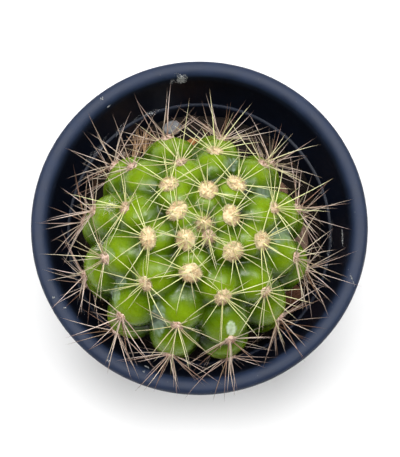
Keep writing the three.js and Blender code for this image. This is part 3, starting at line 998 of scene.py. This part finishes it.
def wool_hair(t, place, k):
    """One fine hair of the wool that curls along the cushion and a little off it."""
    n = t["n"]
    radius = wool_radius(n) * WOOL_CORE
    turn = draw(n, k, 21) * math.tau
    tilt = math.acos(mix(0.0, 0.98, draw(n, k, 22)))
    off = aimed(tilt, UP, aimed(turn, RIGHT, AHEAD)) @ wool_axes(t, place)
    start = place["at"] + 0.97 * radius * off
    out = unit(off)
    side = unit(np.cross(out, place["normal"] + 0.3 * place["away"]))
    along = unit(np.cross(side, out))
    curl = draw(n, k, 23) * math.tau
    way = unit(out + 0.9 * aimed(curl, side, along))
    length = mix(*WOOL_HAIR_LENGTH, draw(n, k, 25)) * radius / AREOLE_RADIUS[0]
    turned = unit(way + 0.8 * (draw(n, k, 26) - 0.5) * side + 0.8 * (draw(n, k, 28) - 0.5) * along)
    middle = start + 0.5 * length * way
    path = [start - 0.3 * way, middle, middle + 0.5 * length * turned]
    # hairs on the cushion's lower side are darker: painted shade
    tone = np.clip(mix(0.30, 0.95, draw(n, k, 27)) - 0.30 * max(0.0, off @ place["away"]), 0, 0.9)
    return hair(path, WOOL_HAIR_RADIUS, wool_age(n), tone)


# stray hairs that lie on the skin: the pixel of the photo, radius in mm, count, age and tone
FUZZ = [
    ((110.0, 207.0), 1.5, 110, 0.0, 1.0),
    ((101.5, 246.5), 1.3, 90, 0.0, 1.0),
    ((204.8, 225.0), 2.0, 260, 0.8, 0.45),
    ((209.0, 240.5), 1.3, 90, 0.2, 0.7),
]
FUZZ_HAIR_LENGTH = (0.9, 2.2)
FUZZ_HAIR_RADIUS = 0.03


def web_hair(at, normal, radius, age, tone, k):
    """A stray hair that arches over the skin."""
    side, other = frame_across(normal)
    turn = draw(k, 1, 71) * math.tau
    away = radius * math.sqrt(draw(k, 2, 71))
    start = at + away * aimed(turn, side, other)
    turn = draw(k, 3, 71) * math.tau
    way = aimed(turn, side, other)
    length = mix(*FUZZ_HAIR_LENGTH, draw(k, 4, 71))
    lift = mix(0.1, 0.6, draw(k, 5, 71))
    path = [
        start - 0.2 * normal,
        start + 0.5 * length * way + lift * normal,
        start + length * way + mix(-0.2, 0.8, draw(k, 6, 71)) * normal,
    ]
    return hair(path, FUZZ_HAIR_RADIUS, age, np.clip(tone + 0.3 * (draw(k, 7, 71) - 0.5), 0, 1))


def make_wool(body):
    sphere = icosphere(4)
    domes = []
    hairs = []
    for t in AREOLES:
        place = seat(t)
        domes.append(wool_dome(t, place, sphere))
        count = int(mix(*WOOL_HAIRS, wool_age(t["n"])))
        hairs += [wool_hair(t, place, k) for k in range(count)]
    tree = hit_tree(body)
    for index, (pixel, radius, count, age, tone) in enumerate(FUZZ):
        spot = photo_hit(tree, pixel)
        hairs += [web_hair(*spot, radius, age, tone, 1000 * index + k) for k in range(count)]
    material = wool()
    joined_piece("areole_cushions", domes, material, "plant", "age", "tone")
    joined_piece("areole_hairs", hairs, material, "plant", "age", "tone")


# ---- spines ----
def is_clear(p):
    out = math.hypot(p[0], p[1])
    if p[2] > POT_HEIGHT + SPINE_CLEARANCE:
        return out < RIM_RADIUS + SPINE_OVERHANG
    above_soil = p[2] - soil_surface(p[0], p[1])
    if min(wall_radius(p[2]) - out, above_soil) < SPINE_CLEARANCE:
        return False
    for _, at, _, size in RESTING:
        near = math.dist(p[:2], at) <= size[0] / 2 + SPINE_CLEARANCE
        if near and p[2] <= SOIL_LEVEL + size[2] + 2:
            return False
    return True


def spine_is_clear(start, direction, length):
    steps = [(i + 1) / CLEARANCE_SAMPLES for i in range(CLEARANCE_SAMPLES)]
    return all(is_clear(start + direction * length * s) for s in steps)


def cleared_tip(start, direction, length):
    """The tip of a spine that bends up, and is shorter, where it would touch the pot or soil."""
    axis = unit(np.cross(direction, UP))
    room = math.acos(np.clip(direction @ UP, -1, 1))
    reach = length
    while reach > SHORTEST_SPINE:
        turn = 0.0
        while turn < room:
            bent = rotated(direction, axis, turn)
            if spine_is_clear(start, bent, reach):
                return start + bent * reach
            turn += BEND_STEP
        reach *= SHORTEN_STEP
    return None


def spine_tip(t, place, k):
    n = t["n"]
    radial, share = SPINE_PLACES[k]
    young = 1 - smoothstep(n, FIRST_AREOLE, YOUNG_UNTIL)
    turn = t["turn"] + (share + TURN_CHANGE * (draw(n, k, 1) - 0.5)) * math.tau
    wide = RADIAL_SPREAD if radial else CENTRAL_SPREAD
    tilt = math.radians(mix(wide[0], wide[1], young) + SPREAD_CHANGE * (draw(n, k, 3) - 0.5))
    direction = aimed(tilt, place["normal"], aimed(turn, place["away"], place["across"]))
    shortest = YOUNG_LENGTH if k < MODEL_SPINES else CROSSING_LENGTH
    grown = mix(shortest, 1.0, smoothstep(n, FIRST_AREOLE, FULL_LENGTH_FROM))
    length = mix(*SPINE_LENGTH, draw(n, k, 4)) * grown
    return cleared_tip(place["at"], direction, length)


def spine(t, place, k):
    tip = spine_tip(t, place, k)
    if tip is None:
        return None
    n = t["n"]
    direction = unit(tip - place["at"])
    root = place["at"] - SPINE_ROOT * direction
    side, other = frame_across(direction)
    length = np.linalg.norm(tip - root)
    swing = draw(n, k, 11) * math.tau
    bow = length * SPINE_BOW * draw(n, k, 12) * aimed(swing, side, other)
    width = SPINE_RADIUS * mix(*SPINE_THICKNESS, draw(n, k, 13))
    if RADIAL_SPINES <= k < MODEL_SPINES:
        width *= CENTRAL_THICKER
    shares = [i / SPINE_STEPS for i in range(SPINE_STEPS + 1)]
    path = [root + (tip - root) * s + bow * 4 * s * (1 - s) for s in shares]
    radii = [width * (1 - 0.88 * s ** 1.3) for s in shares]
    points, faces = tapered(path, radii, SPINE_SIDES)
    along = [s for s in shares[:-1] for _ in range(SPINE_SIDES)] + [1.0]
    tone = draw(n, k, 14)
    age = np.clip(smoothstep(n, *SPINE_GREYING) + 0.3 * (draw(n, k, 15) - 0.5), 0, 1)
    return points, faces, along, age, tone


def make_spines():
    parts = []
    for t in AREOLES:
        place = seat(t)
        parts += [spine(t, place, k) for k in range(len(SPINE_PLACES))]
    joined_piece("spines", parts, spine_paint(), "plant", "along", "age", "tone")


# ---- soil ----
def soil_surface(x, y):
    reach = wall_radius(SOIL_LEVEL)
    mound = SOIL_MOUND * (1 - (x * x + y * y) / (reach * reach))
    a = SOIL_FIRST_WAVE
    b = SOIL_SECOND_WAVE
    first = math.sin(a["x"] * x + a["start"]) * math.cos(a["y"] * y + a["across"])
    second = b["share"] * math.sin(b["x"] * x + b["y"] * y + b["start"])
    return SOIL_LEVEL + mound + SOIL_BUMP * (first + second)


def soil_grain(x, y):
    coarse = noise.noise(Vector((x * 0.55, y * 0.55, 3.1)))
    fine = noise.noise(Vector((x * 1.7, y * 1.7, 8.4)))
    return 0.45 * coarse + 0.28 * fine


def soil_point(x, y, above=0.0):
    return np.array([x, y, soil_surface(x, y) + soil_grain(x, y) + above])


def soil_spot(k, inset, stream):
    """A drawn place on the soil, inside a margin from the wall, and its angle."""
    radius = (wall_radius(SOIL_LEVEL) - inset) * math.sqrt(draw(k, 1, stream))
    angle = draw(k, 2, stream) * math.tau
    return radius * math.cos(angle), radius * math.sin(angle), angle


def make_soil():
    bottom = FLOOR_TOP + SOIL_GAP
    reach = wall_radius(SOIL_LEVEL) - SOIL_GAP
    profile = [
        (0, bottom),
        (wall_radius(bottom) - SOIL_GAP - 1, bottom),
        (wall_radius(bottom + 1) - SOIL_GAP, bottom + 1),
    ]
    profile += [(reach * i / SOIL_RINGS, SOIL_LEVEL) for i in range(SOIL_RINGS, 0, -1)]
    profile.append((0, SOIL_LEVEL))
    points, faces = revolve(profile, SOIL_SIDES)
    points = np.array(points, float)
    for i, (x, y, z) in enumerate(points):
        if z < SOIL_LEVEL - 1:
            continue
        dip = smoothstep(-math.dist((x, y), PLANT_FOOT), -NECK_RADIUS - 1.2, -NECK_RADIUS)
        points[i, 2] = mix(soil_point(x, y)[2], NECK_FOOT_HEIGHT - SOIL_GAP, dip)
    settle(mesh_object("soil_mix", points, faces, soil_paint()), "soil", "soil")


def crumb(x, y, size, k, sphere, tone):
    points, faces = sphere
    shape = noise_at(points, 1.3, k * 1.37)
    ranges = ((0.7, 1.5), (0.6, 1.1), (0.4, 0.8))
    stretch = np.array([mix(low, high, draw(k, i, 31)) for i, (low, high) in enumerate(ranges, 1)])
    local = points * (1 + 0.55 * shape)[:, None] * stretch * size / 2
    place = soil_point(x, y, 0.12 * size)
    return spun(local, draw(k, 4, 31) * math.tau) + place, faces, tone


def make_crumbs():
    sphere = icosphere(2)
    parts = []
    for k in range(CRUMBS):
        x, y, _ = soil_spot(k, 1.4, 41)
        size = mix(*CRUMB_SIZE, draw(k, 3, 41) ** 3)
        if math.dist((x, y), PLANT_FOOT) < NECK_RADIUS + 2.5:
            continue
        if any(math.dist((x, y), at) < (chip[0] + size) / 2 for _, at, _, chip in RESTING):
            continue
        parts.append(crumb(x, y, size, k, sphere, draw(k, 4, 41)))
    joined_piece("soil_crumbs", parts, crumb_paint("crumbs", (0.26, 0.21, 0.17)), "soil", "tone")


# ---- fibres in the soil ----
LONG_FIBRES = {"at": (-17.6, 24.0), "count": 34, "spread": 2.4, "length": (4.0, 9.0), "width": 0.2}
SHORT_FIBRES = {"count": 90, "length": (1.5, 6.0), "width": 0.09}
FIBRE_STEPS = 6


def fibre(start, turn, rise, length, width, k, tone):
    """A curved thread of husk that lies on the soil or stands out of it."""
    ahead = aimed(turn, RIGHT, AHEAD)
    side = aimed(turn, AHEAD, -RIGHT)
    sway = (draw(k, 5, 51) - 0.5) * 0.5 * length
    forward = ahead * length * math.sqrt(1 - 0.6 * rise)
    shares = [i / FIBRE_STEPS for i in range(FIBRE_STEPS + 1)]
    path = []
    for s in shares:
        lift = rise * length * (s - 0.5 * s * s) + 0.25 * math.sin(3 * s + k)
        path.append(start + forward * s + side * sway * s * s + UP * lift)
    return (*tapered(path, [width * (1 - 0.6 * s) for s in shares], 4), tone)


def make_fibres():
    parts = []
    spec = LONG_FIBRES
    for k in range(spec["count"]):
        x = spec["at"][0] + spec["spread"] * (2 * draw(k, 1, 51) - 1)
        y = spec["at"][1] + spec["spread"] * (2 * draw(k, 2, 51) - 1)
        length = mix(*spec["length"], draw(k, 3, 51))
        turn = math.radians(mix(60, 115, draw(k, 4, 51)))
        tone = mix(0.95, 1.0, draw(k, 6, 51))
        rise = mix(0.1, 0.7, draw(k, 7, 51))
        parts.append(fibre(soil_point(x, y), turn, rise, length, spec["width"], k, tone))
    spec = SHORT_FIBRES
    for k in range(100, 100 + spec["count"]):
        x, y, angle = soil_spot(k, 5, 51)
        length = mix(*spec["length"], draw(k, 3, 51))
        turn = angle + math.pi * (0.5 + draw(k, 4, 51))
        tone = mix(0.62, 0.95, draw(k, 6, 51))
        rise = 0.15 * draw(k, 7, 51)
        parts.append(fibre(soil_point(x, y, 0.25), turn, rise, length, spec["width"], k, tone))
    joined_piece("husk_fibres", parts, crumb_paint("fibre", (0.72, 0.47, 0.26)), "husk", "tone")


# ---- minerals dried on the pot ----
# by the pixels of the photo, with the spread along and across in mm, the turn of the long side
# in the photo, the number of grains at each pixel and how white they are
DEPOSITS = [
    ([(181.2, 79.8)], (0.60, 0.85), 0, 330, 1.0),
    ([(180.0, 76.5)], (0.9, 0.9), 0, 40, 0.35),
    ([(171.7, 81.6)], (0.25, 0.6), 0, 30, 0.6),
    ([(108.7, 106.3)], (0.22, 0.22), 40, 22, 0.8),
    ([(102.0, 98.5)], (0.25, 0.15), 30, 14, 0.6),
    ([(151.1, 112.5)], (1.3, 0.35), 20, 90, 0.60),
    ([(134.5, 119.5)], (1.0, 0.3), 30, 26, 0.40),
    ([(118.2, 129.8)], (0.9, 0.3), 40, 60, 0.62),
    ([(104, 140), (99.5, 147), (95, 153), (90, 157), (86, 160)], (0.9, 0.35), 50, 34, 0.45),
    ([(68.0, 253.5)], (0.2, 0.2), 0, 12, 0.6),
    ([(73, 290), (77, 299), (82, 309)], (1.3, 0.5), 120, 30, 0.30),
    ([(64.6, 307.6), (108.7, 360.6)], (0.2, 0.15), 0, 10, 0.7),
    ([(146.6, 366.7)], (0.30, 0.30), 60, 50, 0.95),
    ([(143.8, 371.2), (54.0, 297.5)], (0.2, 0.15), 60, 10, 0.6),
    ([(342.3, 234), (342.5, 241)], (0.8, 0.22), 90, 50, 0.75),
    ([(331.7, 225), (330.5, 240), (328.5, 255), (326, 270), (322.8, 283)], (1.3, 0.25), 96, 18, 0.45),
    ([(351.8, 278.6)], (0.9, 0.06), 110, 26, 0.55),
    ([(321.0, 193.4)], (0.25, 0.2), 0, 12, 0.5),
]
GRAIN_SIZE = (0.07, 0.26)
GRAIN_PROBE = 1.5  # mm off the surface, from where each grain drops onto it


def normal_draw(k, a, b):
    """A repeatable draw around 0 with a spread of 1."""
    return math.sqrt(-2 * math.log(1e-6 + draw(k, a, 81))) * math.cos(math.tau * draw(k, b, 81))


def grain(tree, at, normal, spread, turn, tone, k, sphere):
    """One flat grain that sits on the pot near a point, or None off the surface."""
    right = unit(RIGHT - normal * (RIGHT @ normal))
    up = np.cross(normal, right)
    long = spread[0] * normal_draw(k, 1, 2) * aimed(math.radians(turn), right, up)
    wide = spread[1] * normal_draw(k, 3, 4) * aimed(math.radians(turn), up, -right)
    start = at + long + wide + GRAIN_PROBE * normal
    place, facing, _, _ = tree.ray_cast(Vector(start), Vector(-normal), 2 * GRAIN_PROBE)
    if place is None:
        return None
    points, faces = sphere
    facing = np.array(facing)
    side, other = frame_across(facing)
    size = mix(*GRAIN_SIZE, draw(k, 5, 81) ** 2)
    axes = np.array([side * size, other * size * mix(0.5, 1.0, draw(k, 6, 81)), facing * 0.04])
    turned = spun(points, draw(k, 7, 81) * math.pi)
    tone = np.clip(tone + 0.5 * (draw(k, 8, 81) - 0.5), 0, 1)
    return turned @ axes + np.array(place), faces, tone


def make_deposits(pot):
    sphere = icosphere(1)
    tree = hit_tree(pot)
    parts = []
    k = 0
    for pixels, spread, turn, count, tone in DEPOSITS:
        for pixel in pixels:
            spot = photo_hit(tree, pixel)
            for _ in range(count):
                parts.append(grain(tree, *spot, spread, turn, tone, k, sphere))
                k += 1
    joined_piece("mineral_crust", parts, crust_paint(), "stone", "tone")


# ---- loose pieces ----
HUSK_COLOURS = {  # dark and light
    "husk_chip_1": ((0.09, 0.055, 0.040), (0.34, 0.22, 0.16)),
    "husk_chip_2": ((0.04, 0.017, 0.010), (0.20, 0.085, 0.045)),
    "husk_chip_3": ((0.07, 0.040, 0.026), (0.30, 0.17, 0.11)),
    "husk_chip_4": ((0.12, 0.045, 0.014), (0.42, 0.19, 0.060)),
}


def make_resting():
    """Each loose piece fills the box of its node, with a rough surface."""
    for index, (name, _, turn, size) in enumerate(RESTING):
        low, high = [np.array(corner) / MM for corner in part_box(name)]
        points, faces = icosphere(5)
        stone = name.startswith("stone")
        lumps = noise_at(points, 1.1 if stone else 1.7, index * 5.3)
        pits = noise_at(points, 5.0, index * 5.3)
        points *= (1 + (0.10 if stone else 0.22) * lumps + 0.05 * pits)[:, None]
        points[:, 2] = np.maximum(points[:, 2], -0.75)
        points = spun(points * size, math.radians(turn))
        extent = points.max(axis=0) - points.min(axis=0)
        points = (points - points.min(axis=0)) / extent * (high - low) + low
        paint = stone_paint() if stone else husk_paint(name + "_husk", *HUSK_COLOURS[name])
        piece = mesh_object(name + "_rough", points, faces, paint)
        settle(piece, "stone" if stone else "husk", name)


# ---- stage ----
BACK_GLOW = {"From Min": -0.8, "From Max": 0.9, "To Min": 0.001, "To Max": 0.008}  # by Y
HORIZON_GLOW = {"From Min": 0.0, "From Max": 0.22, "To Min": 0.35, "To Max": 0.0}  # by Z
AIM = (0, 0, 0.06)
LIGHTS = [  # name, place, size, power
    ("key", (0.0, 0.18, 1.04), 0.36, 7.0),
    ("left", (-0.49, 0.12, 0.93), 0.50, 6.0),
    ("right", (0.48, 0.12, 0.93), 0.50, 5.8),
    ("low_back", (0.0, 0.87, 0.56), 0.50, 2.0),
]
FLOOR_HALF = 1500.0


def make_floor():
    points = [(x * FLOOR_HALF, y * FLOOR_HALF, 0) for x, y in ((-1, -1), (1, -1), (1, 1), (-1, 1))]
    floor = mesh_object("floor", points, [(0, 1, 2, 3)], floor_paint(), smooth=False)


def make_lights():
    """Round soft boxes that look at the plant."""
    for name, place, size, power in LIGHTS:
        data = bpy.data.lights.new(name, "AREA")
        data.shape = "DISK"
        data.size = size
        data.energy = power
        light = add_object(name, data)
        light.location = place
        way = Vector(AIM) - Vector(place)
        light.rotation_euler = way.to_track_quat("-Z", "Y").to_euler()


def make_world():
    """A dim studio with a pale backdrop at the horizon, a little brighter behind the pot."""
    world = bpy.data.worlds.new("studio")
    world.use_nodes = True
    tree = world.node_tree
    direction = add_node(tree, "TexCoord").outputs["Generated"]
    split = add_node(tree, "SeparateXYZ", Vector=direction)
    total = add_node(tree, "Math")
    total.operation = "ADD"
    for index, (axis, glow) in enumerate((("Y", BACK_GLOW), ("Z", HORIZON_GLOW))):
        node = add_node(tree, "MapRange", Value=split.outputs[axis], **glow)
        feed(total.inputs[index], node.outputs["Result"])
    background = tree.nodes["Background"]
    feed(background.inputs["Color"], (1, 1, 1))
    feed(background.inputs["Strength"], total.outputs[0])
    bpy.context.scene.world = world


def set_view():
    settings = bpy.context.scene.view_settings
    settings.view_transform = "Standard"
    settings.look = "None"


pot = make_pot()
body = make_body()
make_neck()
make_wool(body)
make_spines()
make_soil()
make_crumbs()
make_fibres()
make_deposits(pot)
make_resting()
make_floor()
make_world()
make_lights()
set_view()
